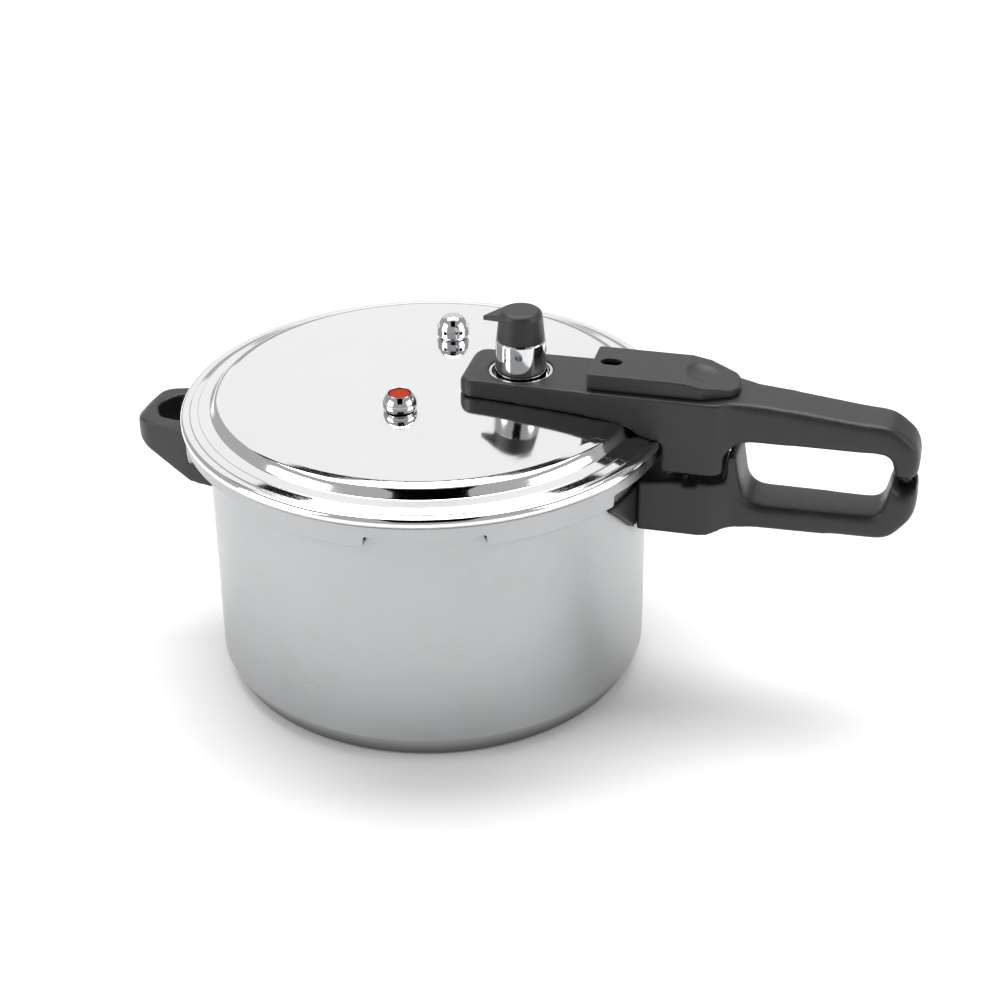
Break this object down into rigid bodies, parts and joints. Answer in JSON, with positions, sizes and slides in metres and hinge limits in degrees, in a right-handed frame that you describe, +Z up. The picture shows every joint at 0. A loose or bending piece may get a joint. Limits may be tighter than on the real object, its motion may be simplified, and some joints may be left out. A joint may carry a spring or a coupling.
{
  "type": "stovetop pressure cooker",
  "caption": "Round aluminium pressure cooker with a bayonet lid, long twin handles, a helper handle, a weighted regulator and safety valves.",
  "frame": {"origin": "centre of the flat base, on the surface it stands on", "axes": "+Z up, +X from the middle of the pot along the long handles"},
  "size_m": [0.3981, 0.2456, 0.1954],
  "materials": {
    "pot_metal": "satin brushed aluminium",
    "lid_metal": "mirror polished aluminium",
    "chrome": "bright chrome plate",
    "steel": "plain stainless steel",
    "brass": "turned brass",
    "phenolic": "black phenolic with a fine moulded texture",
    "red_silicone": "red silicone",
    "grey_silicone": "pale grey silicone"
  },
  "bodies": {
    "pot": {"pot_body": "pot_metal", "pot_bracket": "steel", "bracket_rivets": "pot_metal", "lower_handle": "phenolic", "lower_handle_screw": "steel", "flame_guard": "phenolic", "strike_plate": "steel", "strike_screws": "steel", "helper_bracket": "pot_metal", "helper_rivets": "pot_metal", "helper_handle": "phenolic", "helper_screw": "steel"},
    "gasket": {"gasket_ring": "grey_silicone"},
    "lid": {"lid_shell": "lid_metal", "upper_handle": "phenolic", "handle_cover": "phenolic", "cover_screws": "steel", "handle_screws": "steel", "handle_inserts": "brass", "trim_ring": "chrome", "end_peg": "phenolic", "vent_pipe": "steel", "vent_nut": "steel", "vent_seal": "grey_silicone", "vent_shield": "steel", "relief_body": "steel", "relief_nut": "steel", "relief_seal": "grey_silicone", "relief_dome": "chrome", "relief_spring": "steel", "indicator_guard": "chrome", "indicator_nut": "steel", "indicator_seal": "grey_silicone", "float_bush": "brass", "float_nut": "steel"},
    "clip": {"regulator_clip": "steel"},
    "regulator": {"regulator_weight": "chrome", "regulator_cap": "phenolic", "regulator_needle": "brass"},
    "plunger": {"relief_plunger": "steel"},
    "indicator": {"indicator_button": "red_silicone"},
    "float": {"float_pin": "red_silicone"},
    "slider": {"lock_slider": "phenolic", "lock_bolt": "steel", "slider_screws": "steel"}
  },
  "joints": [
    {"name": "lid_lift", "type": "slide", "parent": "pot", "child": "gasket", "axis": [0, 0, 1], "range_m": [0, 0.18]},
    {"name": "lid_turn", "type": "hinge", "parent": "gasket", "child": "lid", "pos_m": [0, 0, 0.14], "axis": [0, 0, -1], "range_deg": [0, 30]},
    {"name": "regulator_lift", "type": "slide", "parent": "lid", "child": "clip", "axis": [0, 0, 1], "range_m": [0, 0.04]},
    {"name": "regulator_spin", "type": "hinge", "parent": "clip", "child": "regulator", "pos_m": [0.048, 0, 0.17], "axis": [0, 0, 1], "continuous": true},
    {"name": "relief_lift", "type": "slide", "parent": "lid", "child": "plunger", "axis": [0, 0, 1], "range_m": [0, 0.0015], "stiffness_N_per_m": 500, "springref_m": -0.003, "deforming": ["relief_spring"]},
    {"name": "indicator_rise", "type": "slide", "parent": "lid", "child": "indicator", "axis": [0, 0, 1], "range_m": [0, 0.003]},
    {"name": "float_rise", "type": "slide", "parent": "lid", "child": "float", "axis": [0, 0, 1], "range_m": [0, 0.004]},
    {"name": "lock_slide", "type": "slide", "parent": "lid", "child": "slider", "axis": [-1, 0, 0], "range_m": [0, 0.008]}
  ]
}
